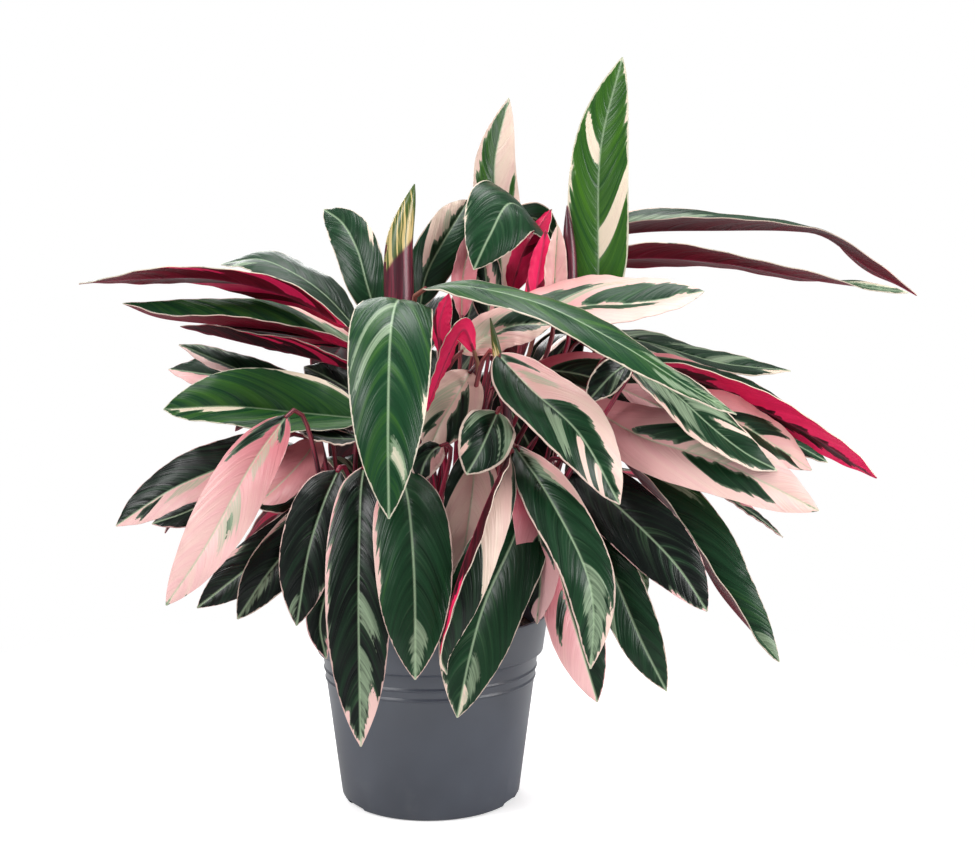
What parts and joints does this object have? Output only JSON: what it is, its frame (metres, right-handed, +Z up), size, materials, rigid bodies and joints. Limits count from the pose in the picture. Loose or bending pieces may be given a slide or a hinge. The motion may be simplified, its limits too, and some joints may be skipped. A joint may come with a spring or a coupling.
{
  "type": "potted prayer plant",
  "caption": "Potted stromanthe: long pointed leaves striped green, cream and pink above and maroon below, on thin stalks, in a slate-grey tapered nursery pot.",
  "frame": {"origin": "middle of the pot's foot, on the floor it stands on", "axes": "+Z up along the pot's axis, front of the plant towards -Y, +X to the right when seen from the front"},
  "size_m": [0.6674, 0.4125, 0.5931],
  "materials": {
    "pot": "slate-grey semi-matt moulded plastic",
    "soil": "dark peaty potting soil",
    "leaves": "glossy variegated leaf, green with cream and pink above, maroon below"
  },
  "bodies": {
    "root": {"pot": "pot", "soil": "soil", "left_high": "leaves", "left_mid": "leaves", "left_low": "leaves", "left_hang": "leaves", "front_left": "leaves", "front_mid": "leaves", "front_right": "leaves", "big_front": "leaves", "centre": "leaves", "cross": "leaves", "bars": "leaves", "right_mid": "leaves", "right_low": "leaves", "back_left": "leaves", "back_mid": "leaves", "back_right": "leaves"}
  },
  "joints": []
}
